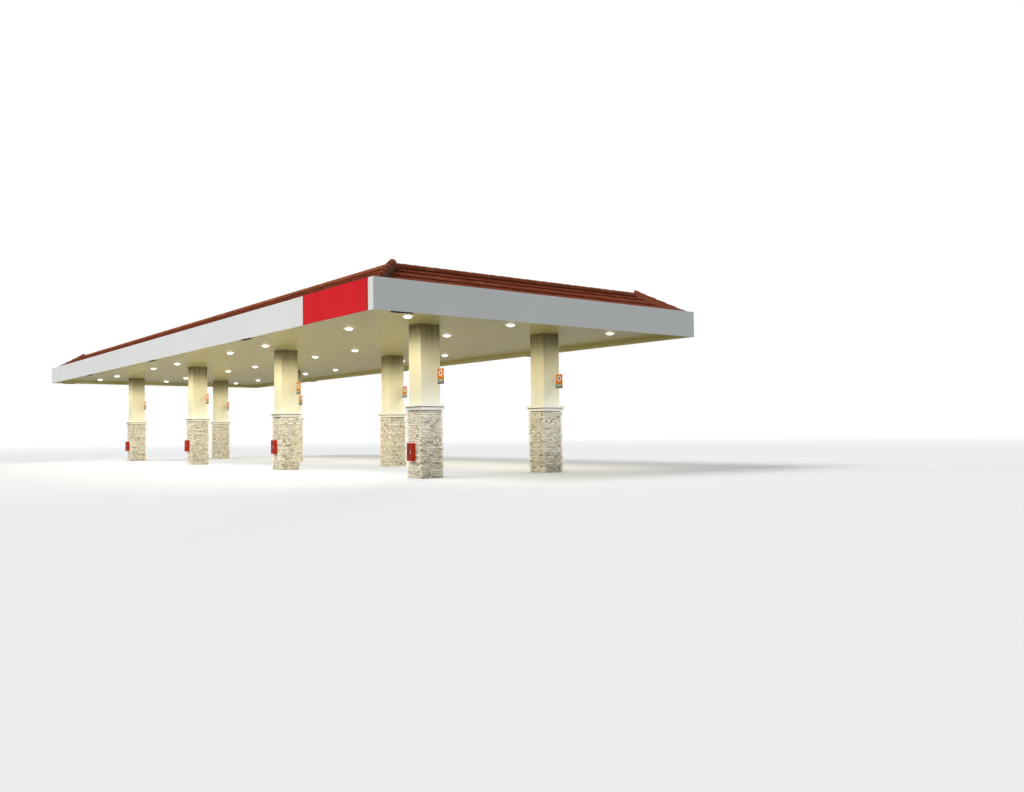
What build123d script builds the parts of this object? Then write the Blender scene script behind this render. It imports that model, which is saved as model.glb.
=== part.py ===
from build123d import *
import math
import os

os.makedirs("parts", exist_ok=True)

# Overall size, in mm: X along the long side, Z up from the ground
length = 39000
width = 12950
clearance = 4750
fascia_height = 890

# Columns: two rows of four
end_overhang = 3600
side_overhang = 3915
base_side = 870
moulding_side = 920
ledge_side = 980
shaft_side = 720
moulding_height = 100
ledge_height = 90
cap_top = 2375
ledge_bevel = 25

# Fascia section
skin = 40
return_depth = 150
leg_thickness = 40
deck_recess = 190
coping = 100
gutter_depth = 126
gutter_reach = 560

# Deck and the steel above it
deck_thickness = 80
pan_count = 32
seam_width = 16
seam_depth = 25
beam_depth = 350
flange_width = 170
flange_thickness = 16
web_thickness = 12
purlin_count = 9
end_purlin_inset = 1500

# Tiled roof band
foot_inset = 275
ridge_inset = 1470
pitch = math.radians(32.3)
course_count = 4
tile_butt = 40
slope_thickness = 110
upstand = 60
cap_radius = 120
cap_shift = 15
bed_lap = 20
hip_start = 215
hip_lift = 100
hip_overrun = 30

# Light fittings
light_pair_spread = 1840
light_pair_lag = 57
light_row_inset = 2268
middle_row_offset = -300
light_flange = 330
light_lens = 240
light_flange_thickness = 12
light_drop = 50
lens_bevel = 18

# Sign box, number flags and extinguisher cabinets
sign_end_gap = 190
sign_width = 3940
sign_depth = 80
sign_height = 868
sign_edge = 12
flag_width = 340
flag_height = 500
flag_thickness = 25
flag_gap = 60
flag_foot = 3060
flag_offset = 240
flag_bevel = 20
arm_height = 30
arm_thickness = 14
arm_lap = 30
cabinet_width = 220
cabinet_depth = 160
cabinet_height = 520
cabinet_foot = 640
cabinet_offset = -60
cabinet_lip = 14

deck_bottom = clearance + deck_recess
deck_top = deck_bottom + deck_thickness
beam_top = deck_top + beam_depth
fascia_top = clearance + fascia_height
stone_height = cap_top - ledge_height - moulding_height
deck_edge = return_depth - leg_thickness
gutter_floor = fascia_top - gutter_depth
ridge_height = gutter_floor + (ridge_inset - foot_inset) * math.tan(pitch)
bay = (length - 2 * end_overhang) / 3
row = width / 2 - side_overhang
column_x = (-1.5 * bay, -0.5 * bay, 0.5 * bay, 1.5 * bay)
row_y = {"front": -row, "back": row}
purlin_spacing = (length - 2 * end_purlin_inset) / (purlin_count - 1)
sides = {
    "front": (0, length, width / 2),
    "right": (90, width, length / 2),
    "back": (180, length, width / 2),
    "left": (270, width, length / 2),
}


def save(name, shape):
    # the sign stands proud of one face only, so the whole is moved to stay centred
    centred = [solid.moved(Location((0, sign_depth / 2, 0))) for solid in shape.solids()]
    export_step(Compound(children=centred), f"parts/{name}.step")


def block(size_x, size_y, low, high, x=0, y=0):
    box = Box(size_x, size_y, high - low, align=(Align.CENTER, Align.CENTER, Align.MIN))
    return Pos(x, y, low) * box


def stone_base():
    return block(base_side, base_side, 0, stone_height)


def column_cap():
    moulding = block(moulding_side, moulding_side, stone_height, cap_top - ledge_height)
    ledge = block(ledge_side, ledge_side, cap_top - ledge_height, cap_top)
    ledge = chamfer(ledge.edges().group_by(Axis.Z)[-1], ledge_bevel)
    return moulding + ledge


def column_shaft():
    return block(shaft_side, shaft_side, cap_top, deck_bottom)


def mitred(section, side, short=0):
    """A section drawn as (inset, height), run along one side and cut at 45 degrees in plan."""
    turn, run, half = sides[side]
    face = Plane.YZ * (Pos(-half, 0) * section)
    bar = extrude(face, amount=run / 2 - short, both=True)
    reach = 2 * ridge_inset
    plan = Polygon(
        (-run / 2, -half),
        (run / 2, -half),
        (run / 2 - reach, reach - half),
        (reach - run / 2, reach - half),
        align=None,
    )
    return Rot(0, 0, turn) * (bar & extrude(plan, amount=2 * fascia_top))


def fascia(side):
    """An outer skin with a return at its foot, a coping on top and a gutter behind it."""
    section = [
        (0, clearance),
        (return_depth, clearance),
        (return_depth, deck_bottom),
        (return_depth - leg_thickness, deck_bottom),
        (return_depth - leg_thickness, clearance + skin),
        (skin, clearance + skin),
        (skin, fascia_top - skin),
        (coping - skin, fascia_top - skin),
        (coping - skin, gutter_floor - skin),
        (gutter_reach, gutter_floor - skin),
        (gutter_reach, gutter_floor),
        (coping, gutter_floor),
        (coping, fascia_top),
        (0, fascia_top),
    ]
    return mitred(Polygon(*section, align=None), side)


def roof_slope(side):
    """Four stepped courses of tile on a boarded slope, with the upstand that props its top."""
    run = (ridge_inset - foot_inset) / course_count
    section = []
    for course in range(course_count):
        low_u = foot_inset + course * run
        low_z = gutter_floor + course * run * math.tan(pitch)
        section.append((low_u, low_z))
        section.append((low_u, low_z + tile_butt))
    section.append((ridge_inset, ridge_height))
    section.append((ridge_inset, beam_top))
    section.append((ridge_inset - upstand, beam_top))
    vertical = slope_thickness / math.cos(pitch)
    under = ridge_height - upstand * math.tan(pitch) - vertical
    section.append((ridge_inset - upstand, under))
    section.append((foot_inset + vertical / math.tan(pitch), gutter_floor))
    return mitred(Polygon(*section, align=None), side)


def tile_envelope():
    """The space under the tops of the tile butts, carried on past the ridges."""
    low = foot_inset - 2 * cap_radius
    high = ridge_inset + 2 * cap_radius
    levels = []
    for inset in (low, high):
        height = gutter_floor + tile_butt + (inset - foot_inset) * math.tan(pitch)
        levels.append(Pos(0, 0, height) * Rectangle(length - 2 * inset, width - 2 * inset))
    return loft(levels, ruled=True)


def hip_cap(sx, sy):
    """A round cap on its mortar bed, laid up one hip from the gutter to just past the ridge."""
    rise = (hip_start - foot_inset) * math.tan(pitch)
    start = Vector(
        sx * (length / 2 - hip_start), sy * (width / 2 - hip_start), gutter_floor + rise + hip_lift
    )
    reach = ridge_inset - hip_start
    way = Vector(-sx * reach, -sy * reach, reach * math.tan(pitch))
    across = way.cross(Vector(0, 0, 1))
    bed = Rectangle(2 * (cap_radius - bed_lap), 2 * cap_radius, align=(Align.CENTER, Align.MAX))
    section = Circle(cap_radius) + bed
    plane = Plane(origin=start, x_dir=across, z_dir=way)
    if plane.y_dir.Z < 0:
        plane = Plane(origin=start, x_dir=across * -1, z_dir=way)
    cap = extrude(plane * section, amount=way.length + 4 * hip_overrun)
    corner = ridge_inset + hip_overrun
    x = sx * (length - corner) / 2
    y = sy * (width - corner) / 2
    cap &= block(corner, corner, gutter_floor, 2 * fascia_top, x, y)
    return cap - tile_envelope()


def ridge_cap(side):
    """A half-round cap and its bed along one ridge, from one hip cap to the next."""
    centre = ridge_inset - cap_shift
    course = (ridge_inset - foot_inset) / course_count
    low_u = ridge_inset - course
    low_z = ridge_height - course * math.tan(pitch)
    above = Rectangle(2 * cap_radius, cap_radius, align=(Align.CENTER, Align.MIN))
    cap = Pos(centre, ridge_height) * (Circle(cap_radius) & above)
    bed = Polygon(
        (centre - cap_radius + bed_lap, low_z),
        (ridge_inset, low_z),
        (ridge_inset, ridge_height),
        (centre - cap_radius + bed_lap, ridge_height),
        align=None,
    )
    tiles = Polygon(
        (low_u, low_z + tile_butt),
        (low_u, clearance),
        (ridge_inset, clearance),
        (ridge_inset, ridge_height),
        align=None,
    )
    return mitred(cap + (bed - tiles), side, ridge_inset + hip_overrun)


def soffit_deck():
    """Long deck pans side by side, with an open seam between each pair."""
    half = width / 2 - deck_edge
    pan = 2 * half / pan_count
    section = [(-half, deck_top), (-half, deck_bottom)]
    for seam in range(1, pan_count):
        y = seam * pan - half
        section.append((y - seam_width / 2, deck_bottom))
        section.append((y - seam_width / 2, deck_bottom + seam_depth))
        section.append((y + seam_width / 2, deck_bottom + seam_depth))
        section.append((y + seam_width / 2, deck_bottom))
    section.append((half, deck_bottom))
    section.append((half, deck_top))
    face = Plane.YZ * Polygon(*section, align=None)
    return extrude(face, amount=length / 2 - deck_edge, both=True)


def beam(start, way, reach):
    """A rolled steel section standing on the deck, run from start along way."""
    outer = Rectangle(flange_width, beam_depth)
    gap = (flange_width - web_thickness) / 2
    hollow = Rectangle(gap, beam_depth - 2 * flange_thickness)
    shift = (web_thickness + gap) / 2
    section = outer - Pos(shift, 0) * hollow - Pos(-shift, 0) * hollow
    plane = Plane(origin=start, x_dir=Vector(0, 0, 1).cross(Vector(way)), z_dir=way)
    return extrude(plane * section, amount=reach, dir=way)


def girder(y):
    low = (-(length / 2 - skin), y, deck_top + beam_depth / 2)
    return beam(low, (1, 0, 0), length - 2 * skin)


def cross_purlins():
    """Lines of purlins, each in three lengths framed between the fascias and the girders."""
    outer = width / 2 - skin
    face = flange_width / 2
    spans = (
        (-outer, row_y["front"] - face),
        (row_y["front"] + face, row_y["back"] - face),
        (row_y["back"] + face, outer),
    )
    solids = []
    for line in range(purlin_count):
        x = (line - (purlin_count - 1) / 2) * purlin_spacing
        for low, high in spans:
            start = (x, low, deck_top + beam_depth / 2)
            solids.append(beam(start, (0, 1, 0), high - low))
    return Compound(children=solids)


def light_fitting():
    flange = block(light_flange, light_flange, deck_bottom - light_flange_thickness, deck_bottom)
    lens = block(light_lens, light_lens, deck_bottom - light_drop, deck_bottom)
    lens = chamfer(lens.edges().group_by(Axis.Z)[0], lens_bevel)
    return flange + lens


def light_fittings():
    """A pair of fittings beside each column line, in a row on each edge and one down the middle."""
    edge = width / 2 - light_row_inset
    fitting = light_fitting()
    solids = []
    for y in (-edge, middle_row_offset, edge):
        for line in (-1.5, -0.5, 0.5, 1.5):
            centre = line * (bay - 2 * light_pair_lag)
            solids.append(Pos(centre - light_pair_spread, y, 0) * fitting)
            solids.append(Pos(centre + light_pair_spread, y, 0) * fitting)
    return Compound(children=solids)


def sign_box():
    box = block(
        sign_width,
        sign_depth,
        clearance,
        clearance + sign_height,
        (length - sign_width) / 2 - sign_end_gap,
        -(width + sign_depth) / 2,
    )
    return chamfer(box.edges().filter_by(Axis.Y), sign_edge)


def number_flag(x, y):
    """A thin panel held off the shaft by two short arms."""
    panel = Pos(x + shaft_side / 2 + flag_gap, y + flag_offset, flag_foot) * Box(
        flag_width,
        flag_thickness,
        flag_height,
        align=(Align.MIN, Align.CENTER, Align.MIN),
    )
    panel = chamfer(panel.edges().filter_by(Axis.Y), flag_bevel)
    for level in (0.18, 0.82):
        arm = Box(
            flag_gap + arm_lap,
            arm_thickness,
            arm_height,
            align=(Align.MIN, Align.CENTER, Align.CENTER),
        )
        z = flag_foot + level * flag_height
        panel += Pos(x + shaft_side / 2, y + flag_offset, z) * arm
    return panel


def number_flags():
    return Compound(children=[number_flag(x, y) for y in row_y.values() for x in column_x])


def extinguisher_cabinet(x, y):
    """A box on the stone face, with a door that stands a little proud of it."""
    face = y - base_side / 2
    body = block(
        cabinet_width,
        cabinet_depth - cabinet_lip,
        cabinet_foot,
        cabinet_foot + cabinet_height,
        x + cabinet_offset,
        face - (cabinet_depth - cabinet_lip) / 2,
    )
    door = block(
        cabinet_width - 2 * cabinet_lip,
        cabinet_lip,
        cabinet_foot + cabinet_lip,
        cabinet_foot + cabinet_height - cabinet_lip,
        x + cabinet_offset,
        face - cabinet_depth + cabinet_lip / 2,
    )
    return body + door


def extinguisher_cabinets():
    return Compound(children=[extinguisher_cabinet(x, row_y["front"]) for x in column_x])


for name, y in row_y.items():
    for number, x in enumerate(column_x, 1):
        save(f"{name}_stone_base_{number}", Pos(x, y, 0) * stone_base())
        save(f"{name}_column_cap_{number}", Pos(x, y, 0) * column_cap())
        save(f"{name}_column_shaft_{number}", Pos(x, y, 0) * column_shaft())
    save(f"{name}_girder", girder(y))

for side in sides:
    save(f"{side}_fascia", fascia(side))
    save(f"{side}_roof_slope", roof_slope(side))
    save(f"{side}_ridge_cap", ridge_cap(side))

hips = [hip_cap(sx, sy) for sx in (-1, 1) for sy in (-1, 1)]
save("hip_caps", Compound(children=hips))
save("soffit_deck", soffit_deck())
save("cross_purlins", cross_purlins())
save("light_fittings", light_fittings())
save("sign_box", sign_box())
save("number_flags", number_flags())
save("extinguisher_cabinets", extinguisher_cabinets())
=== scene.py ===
import math
import random

import bmesh
import bpy
from mathutils import Euler, Matrix, Vector


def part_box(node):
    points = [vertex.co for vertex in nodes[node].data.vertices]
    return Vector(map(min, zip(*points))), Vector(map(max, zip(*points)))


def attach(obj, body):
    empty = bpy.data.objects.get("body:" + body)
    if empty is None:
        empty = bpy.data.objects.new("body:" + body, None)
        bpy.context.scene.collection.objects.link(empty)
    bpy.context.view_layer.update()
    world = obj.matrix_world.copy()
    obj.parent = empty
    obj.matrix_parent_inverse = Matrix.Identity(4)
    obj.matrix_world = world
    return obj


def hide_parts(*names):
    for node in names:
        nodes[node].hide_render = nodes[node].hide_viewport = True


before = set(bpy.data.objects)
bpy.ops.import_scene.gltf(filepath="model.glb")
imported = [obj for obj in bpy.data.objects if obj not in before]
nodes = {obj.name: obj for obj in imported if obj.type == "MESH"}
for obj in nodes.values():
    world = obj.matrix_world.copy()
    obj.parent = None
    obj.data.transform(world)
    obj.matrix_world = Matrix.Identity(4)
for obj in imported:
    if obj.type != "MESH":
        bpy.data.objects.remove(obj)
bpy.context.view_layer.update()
sideNames = ("front", "right", "back", "left")
rowNames = ("front", "back")
columnNumbers = range(1, 5)
squareCorners = ((-1, -1), (1, -1), (1, 1), (-1, 1))
finish = {}  # every material by its name
print("frame loaded:", len(nodes), "nodes")

# levels and insets read from the frame, so every piece sits where its node is
frontLow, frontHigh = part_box("front_fascia")
slopeLow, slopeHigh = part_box("front_roof_slope")
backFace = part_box("back_fascia")[1].y
middleY = (frontLow.y + backFace) / 2
roofLength = frontHigh.x - frontLow.x
roofWidth = backFace - frontLow.y
fasciaFoot = frontLow.z
fasciaTop = frontHigh.z
gutterReach = frontHigh.y - frontLow.y
footInset = slopeLow.y - frontLow.y
ridgeInset = slopeHigh.y - frontLow.y
ridgeHeight = slopeHigh.z
upstandFoot = slopeLow.z
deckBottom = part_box("soffit_deck")[0].z
roofPitch = math.radians(32.3)
gutterFloor = ridgeHeight - (ridgeInset - footInset) * math.tan(roofPitch)
# the length of each side, and its distance from the middle
sides = {
    "front": (roofLength, roofWidth / 2),
    "right": (roofWidth, roofLength / 2),
    "back": (roofLength, roofWidth / 2),
    "left": (roofWidth, roofLength / 2),
}


def toSide(side):
    turn = Matrix.Rotation(math.radians(90 * sideNames.index(side)), 4, "Z")
    return Matrix.Translation((0, middleY, 0)) @ turn


def linked(name, data):
    holder = bpy.data.objects.new(name, data)
    bpy.context.scene.collection.objects.link(holder)
    return holder


def settle(name, mesh, slotName, *standsFor):
    piece = linked(name, mesh)
    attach(piece, "root")
    if standsFor:
        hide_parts(*standsFor)


def meshFrom(bm, name, *finishNames):
    bmesh.ops.recalc_face_normals(bm, faces=bm.faces)
    mesh = bpy.data.meshes.new(name)
    bm.to_mesh(mesh)
    bm.free()
    for finishName in finishNames:
        mesh.materials.append(finish[finishName])
    return mesh


def settleShape(name, bm, finishName, slotName, *standsFor):
    settle(name, meshFrom(bm, name, finishName), slotName, *standsFor)


def addBlock(bm, low, high, bevel=0.0, place=None):
    corners = [
        Vector((x, y, z)) for z in (low[2], high[2]) for y in (low[1], high[1]) for x in (low[0], high[0])
    ]
    verts = [bm.verts.new(place @ c if place else c) for c in corners]
    quads = ((0, 2, 3, 1), (4, 5, 7, 6), (0, 1, 5, 4), (1, 3, 7, 5), (3, 2, 6, 7), (2, 0, 4, 6))
    faces = [bm.faces.new([verts[i] for i in quad]) for quad in quads]
    if bevel:
        edges = list({edge for face in faces for edge in face.edges})
        bmesh.ops.bevel(bm, geom=edges, offset=bevel, segments=2, profile=0.6, affect="EDGES")


def addFrame(bm, low, high, width, bevel):
    # four bars around an upright rectangle, its two sides at full height
    (x0, y0, z0), (x1, y1, z1) = low, high
    a, b = x0 + width, x1 - width
    bars = ((x0, a, z0, z1), (b, x1, z0, z1), (a, b, z0, z0 + width), (a, b, z1 - width, z1))
    for left, right, foot, head in bars:
        addBlock(bm, (left, y0, foot), (right, y1, head), bevel)


def addRings(bm, rings):
    # a skin over two or more rings of points, closed at both ends
    rings = [[bm.verts.new(point) for point in ring] for ring in rings]
    for near, far in zip(rings, rings[1:]):
        for i in range(len(near)):
            bm.faces.new((near[i - 1], near[i], far[i], far[i - 1]))
    bm.faces.new(rings[0][::-1])
    bm.faces.new(rings[-1])


def addMitred(bm, section, side):
    # a closed section of (inset, height) points run along one side, mitred in plan
    run, half = sides[side]
    place = toSide(side)
    addRings(bm, [
        [place @ Vector((end * (run / 2 - inset), inset - half, height)) for inset, height in section]
        for end in (-1, 1)
    ])


def addBar(bm, start, end, section):
    # a bar of (across, up) section from start to end, square to its own run
    way = (end - start).normalized()
    across = way.cross(Vector((0, 0, 1))).normalized()
    up = across.cross(way)
    addRings(bm, [[point + across * a + up * b for a, b in section] for point in (start, end)])


def addBentPlate(bm, near, far, paintedShades):
    # a bent plate between two ends, each an upper and a lower row of points
    # the painted shades darken its underside, near end and far end: painted shade where shadow falls under
    # the tile butts and the cap ends
    ends = bm.faces.layers.float.new("ends")
    (topA, underA), (topB, underB) = (
        [[bm.verts.new(point) for point in row] for row in pair] for pair in (near, far)
    )
    last = len(topA) - 1
    for i in range(last):
        j = i + 1
        bm.faces.new((topA[i], topA[j], topB[j], topB[i]))
        bm.faces.new((underA[j], underA[i], underB[i], underB[j]))[ends] = paintedShades[0]
        bm.faces.new((underA[i], underA[j], topA[j], topA[i]))[ends] = paintedShades[1]
        bm.faces.new((topB[i], topB[j], underB[j], underB[i]))[ends] = paintedShades[2]
    bm.faces.new((underA[0], topA[0], topB[0], underB[0]))
    bm.faces.new((topA[last], underA[last], underB[last], topB[last]))


def cutAway(bm, point, normal):
    # what lies beyond a plane is cut away, and the cut is closed again
    whole = bm.verts[:] + bm.edges[:] + bm.faces[:]
    cut = bmesh.ops.bisect_plane(
        bm, geom=whole, dist=1e-6, plane_co=point, plane_no=normal, clear_outer=True,
    )
    edges = [item for item in cut["geom_cut"] if isinstance(item, bmesh.types.BMEdge)]
    bmesh.ops.edgenet_fill(bm, edges=edges)


def joinMeshes(name, meshes, finishName):
    bm = bmesh.new()
    for mesh in meshes:
        bm.from_mesh(mesh)
    joined = bpy.data.meshes.new(name)
    bm.to_mesh(joined)
    bm.free()
    joined.materials.append(finish[finishName])
    return joined


def evaluatedMesh(holder):
    # a plain mesh of what the holder shows, and the holder is removed
    depsgraph = bpy.context.evaluated_depsgraph_get()
    mesh = bpy.data.meshes.new_from_object(holder.evaluated_get(depsgraph), depsgraph=depsgraph)
    bpy.data.objects.remove(holder)
    return mesh


def solidBoxes(node, reach):
    # the low and high corner of each separate solid of a node, with its points within reach of the first
    groups = []
    for vertex in nodes[node].data.vertices:
        for group in groups:
            if (group[0] - vertex.co).length < reach:
                group.append(vertex.co.copy())
                break
        else:
            groups.append([vertex.co.copy()])
    return [
        [Vector([pick(point[i] for point in group) for i in range(3)]) for pick in (min, max)]
        for group in groups
    ]


def isSocket(value):
    return isinstance(value, bpy.types.NodeSocket)


def feed(tree, sockets, values):
    # each input named in values is linked to a socket or set to a plain value
    for key, value in values.items():
        if isSocket(value):
            tree.links.new(value, sockets[key])
        else:
            sockets[key].default_value = value


def addNode(tree, kind, values=None, **settings):
    node = tree.nodes.new(kind)
    for key, value in settings.items():
        setattr(node, key, value)
    feed(tree, node.inputs, values or {})
    return node


def shading(tree, kind, values, out=0, **settings):
    return addNode(tree, "ShaderNode" + kind, values, **settings).outputs[out]


def geometry(tree, kind, values, out=0, **settings):
    return addNode(tree, "GeometryNode" + kind, values, **settings).outputs[out]


def mathNode(tree, operation, *values):
    return shading(tree, "Math", dict(enumerate(values)), operation=operation)


def vectorNode(tree, operation, values, out=0):
    return shading(tree, "VectorMath", values, out, operation=operation)


def rangeNode(tree, value, start, stop, top=1.0, **settings):
    values = {"Value": value, "From Min": start, "From Max": stop, "To Max": top}
    return shading(tree, "MapRange", values, **settings)


def noiseNode(tree, place, scale, detail=3.0, roughness=0.55, stretch=None):
    if stretch:
        place = shading(tree, "Mapping", {"Vector": place, "Scale": stretch})
    values = {"Vector": place, "Scale": scale, "Detail": detail, "Roughness": roughness}
    return shading(tree, "TexNoise", values)


def rampNode(tree, value, stops):
    ramp = addNode(tree, "ShaderNodeValToRGB", {"Fac": value})
    elements = ramp.color_ramp.elements
    while len(elements) < len(stops):
        elements.new(0.5)
    for element, (position, colour) in zip(elements, stops):
        element.position = position
        element.color = (*colour, 1)
    return ramp.outputs["Color"]


def greyRamp(tree, value, stops):
    return rampNode(tree, value, [(position, (level,) * 3) for position, level in stops])


def mixColours(tree, factor, first, second, blend="MIX"):
    # sockets 6 and 7 and output 2 are the ones for colours
    first, second = (colour if isSocket(colour) else (*colour, 1) for colour in (first, second))
    return shading(tree, "Mix", {0: factor, 6: first, 7: second}, 2, data_type="RGBA", blend_type=blend)


def attributeNode(tree, name):
    return shading(tree, "Attribute", {}, "Fac", attribute_name=name)


def baseMaterial(name, roughness, specular=0.3):
    material = finish[name] = bpy.data.materials.new(name)
    material.use_nodes = True
    tree = material.node_tree
    shader = tree.nodes["Principled BSDF"].inputs
    feed(tree, shader, {"Roughness": roughness, "Specular IOR Level": specular})
    return tree, shader, shading(tree, "TexCoord", {}, "Object")


def addBump(tree, shader, height, strength, distance):
    values = {"Height": height, "Strength": strength, "Distance": distance}
    feed(tree, shader, {"Normal": shading(tree, "Bump", values)})


def mottled(name, dark, light, scale, roughness, bump, specular=0.3, stretch=None):
    tree, shader, place = baseMaterial(name, roughness, specular)
    broad = noiseNode(tree, place, scale, 4.0, 0.6, stretch)
    feed(tree, shader, {"Base Color": rampNode(tree, broad, ((0.3, dark), (0.7, light)))})
    grain, strength, distance = bump
    addBump(tree, shader, noiseNode(tree, place, grain), strength, distance)


def tinted(name, roughness, speckle, grain, distance, endShadeColour, *stops):
    # each stone or tile carries its own tint value, so neighbours differ as fired or quarried ones do
    tree, shader, place = baseMaterial(name, roughness, specular=0.06)
    colour = rampNode(tree, attributeNode(tree, "tint"), stops)
    flecks = greyRamp(tree, noiseNode(tree, place, speckle, 5.0, 0.65), ((0.3, 0.78), (0.72, 1.08)))
    mixed = mixColours(tree, 1.0, colour, flecks, "MULTIPLY")
    # painted shade: the marked ends and undersides are mixed towards a dark colour
    if endShadeColour:
        mixed = mixColours(tree, attributeNode(tree, "ends"), mixed, endShadeColour)
    feed(tree, shader, {"Base Color": mixed})
    addBump(tree, shader, noiseNode(tree, place, grain, 5.0, 0.6), 0.6, distance)


def lensGlow(name, colour, strength):
    tree, shader, place = baseMaterial(name, 0.35)
    feed(tree, shader, {"Base Color": colour, "Emission Color": colour, "Emission Strength": strength})
    addBump(tree, shader, noiseNode(tree, place, 90, 2.0), 0.1, 0.001)


shaftTones = {
    "upper": ((0.3, (0.69, 0.645, 0.445)), (0.7, (0.73, 0.685, 0.485))),
    "lower": ((0.3, (0.76, 0.745, 0.62)), (0.7, (0.80, 0.785, 0.66))),
    "change": (2.6, 1.3),
    # the dark colour at the top is painted shade under the deck together with dust
    "shadeAndDust": (0.130, 0.108, 0.036),
    "shadeAndDustReach": 1.25,
    "shadeAndDustLevels": ((0.0, 0.04), (0.20, 0.16), (0.42, 0.40), (0.72, 0.86), (1.0, 1.0)),
    "streaks": ((0.3, 0.80), (0.7, 1.0)),
}


def shaftRender():
    # cream render, paler towards the foot, darkened where the shaft meets the deck: painted shade under the
    # deck mixed with dust, broken by dust streaks
    s = shaftTones
    tree, shader, place = baseMaterial("creamRender", 0.85)
    drift = noiseNode(tree, place, 1.6, 4.0, 0.6)
    lower, upper = (rampNode(tree, drift, s[key]) for key in ("lower", "upper"))
    height = shading(tree, "SeparateXYZ", {0: place}, "Z")
    start, stop = (deckBottom - depth for depth in s["change"])
    clean = mixColours(tree, rangeNode(tree, height, start, stop), lower, upper)
    level = rangeNode(tree, height, deckBottom - s["shadeAndDustReach"], deckBottom)
    runs = greyRamp(tree, noiseNode(tree, place, 9.0, 3.0, 0.6, (1, 1, 0.06)), s["streaks"])
    streaked = mixColours(tree, 1.0, greyRamp(tree, level, s["shadeAndDustLevels"]), runs, "MULTIPLY")
    feed(tree, shader, {"Base Color": mixColours(tree, streaked, clean, s["shadeAndDust"])})
    addBump(tree, shader, noiseNode(tree, place, 220), 0.35, 0.002)


# dark and light colour, scale of the mottling, roughness, bump as (scale, strength, depth),
# then, where they differ from the usual, the specular level and the stretch of the mottling
satin = (6, 0.4, (60, 0.05, 0.001))
mortar = (25, 0.95, (80, 0.5, 0.004), 0.05)
mottledFinishes = {
    "stoneJoint": ((0.14, 0.115, 0.09), (0.20, 0.165, 0.13), 30, 0.95, (60, 0.2, 0.002)),
    # the grey mortar of the near hip is painted shade; the other hips get tile colour
    "hipMortar": ((0.130, 0.076, 0.055), (0.185, 0.110, 0.082), *mortar),
    "hipMortarWarm": ((0.24, 0.080, 0.042), (0.31, 0.108, 0.058), *mortar),
    # the ridge bedding is mortar, coloured dark as painted shade under the caps' lower edges
    "ridgeBedding": ((0.120, 0.030, 0.012), (0.165, 0.042, 0.018), *mortar),
    "castStone": ((0.765, 0.755, 0.69), (0.82, 0.81, 0.75), 6, 0.8, (150, 0.25, 0.002)),
    "fasciaPanel": ((0.762, 0.768, 0.750), (0.792, 0.798, 0.782), 0.6, 0.42, (30, 0.04, 0.001)),
    "slotShadow": ((0.010, 0.009, 0.007), (0.018, 0.016, 0.012), 8, 0.9, (30, 0.1, 0.001)),
    "deckPan": (
        (0.394, 0.352, 0.146), (0.440, 0.394, 0.172), 0.8, 0.32, (5, 0.05, 0.002), 0.3, (0.25, 3, 1),
    ),
    "roofBoard": ((0.36, 0.33, 0.28), (0.48, 0.44, 0.38), 2, 0.85, (40, 0.3, 0.003)),
    "primedSteel": ((0.30, 0.305, 0.31), (0.42, 0.425, 0.43), 3, 0.6, (60, 0.2, 0.001)),
    "whiteHousing": ((0.80, 0.80, 0.78), (0.86, 0.86, 0.84), 3, 0.4, (80, 0.05, 0.001)),
    "redAcrylic": ((0.66, 0.012, 0.018), (0.72, 0.016, 0.023), 1, 0.5, (20, 0.03, 0.001), 0.05),
    "redTrim": ((0.50, 0.012, 0.017), (0.58, 0.015, 0.021), 3, 0.5, (60, 0.08, 0.001), 0.1),
    "orangeSheet": ((0.76, 0.190, 0.008), (0.82, 0.220, 0.012), 4, 0.5, (60, 0.05, 0.001), 0.1),
    "whitePaint": ((0.82, 0.82, 0.80), (0.87, 0.87, 0.85), *satin),
    "blackPaint": ((0.012, 0.012, 0.013), (0.02, 0.02, 0.022), *satin),
    "greenPaint": ((0.010, 0.17, 0.05), (0.014, 0.20, 0.06), *satin),
    "slatePaint": ((0.016, 0.026, 0.05), (0.022, 0.034, 0.062), *satin),
    "cabinetRed": ((0.37, 0.018, 0.004), (0.42, 0.024, 0.006), 5, 0.4, (70, 0.06, 0.001), 0.12),
    # the pane's dark red-brown is the red extinguisher behind the glass, with painted shade for the
    # cabinet's dim inside
    "cabinetPane": ((0.12, 0.018, 0.012), (0.22, 0.035, 0.022), 6, 0.12, (30, 0.0, 0.002)),
}
for name, values in mottledFinishes.items():
    mottled(name, *values)
shaftRender()
lensGlow("lampLens", (1.0, 0.97, 0.90, 1), 3.0)
# the flange is no lamp: its faint glow is painted light round the lens
lensGlow("lampFlangeGlow", (1.0, 0.95, 0.80, 1), 0.30)
# the dark colour after the bump depth is the painted shade of the marked ends and undersides
tinted(
    "clayRollTile", 0.85, 14, 120, 0.003, (0.092, 0.017, 0.005),
    (0.0, (0.215, 0.046, 0.019)), (0.35, (0.240, 0.053, 0.022)),
    (0.75, (0.262, 0.061, 0.026)), (1.0, (0.290, 0.074, 0.033)),
)
tinted(
    "clayCapTile", 0.85, 14, 120, 0.003, (0.085, 0.020, 0.008),
    (0.0, (0.268, 0.068, 0.029)), (0.6, (0.315, 0.083, 0.036)), (1.0, (0.36, 0.104, 0.046)),
)
tinted(
    "ledgeStone", 0.9, 38, 90, 0.004, None,
    (0.0, (0.36, 0.29, 0.22)), (0.05, (0.52, 0.45, 0.36)), (0.12, (0.86, 0.80, 0.67)),
    (0.45, (0.93, 0.885, 0.75)), (0.74, (0.95, 0.92, 0.82)), (0.90, (0.72, 0.67, 0.58)),
    (1.0, (0.84, 0.73, 0.55)),
)
print("materials ready:", len(bpy.data.materials))

# how unevenly tiles and caps are laid, and each random draw's step from its tree's seed
layingSizes = {
    "wander": (1, 1, 0.2),
    "tileWobble": (0.008, 0.006, 0.010),
    "capWobble": (0.01, 0.01, 0.015),
    "steps": {"wander": 3, "wobble": 5, "tint": 11},
}


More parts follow.
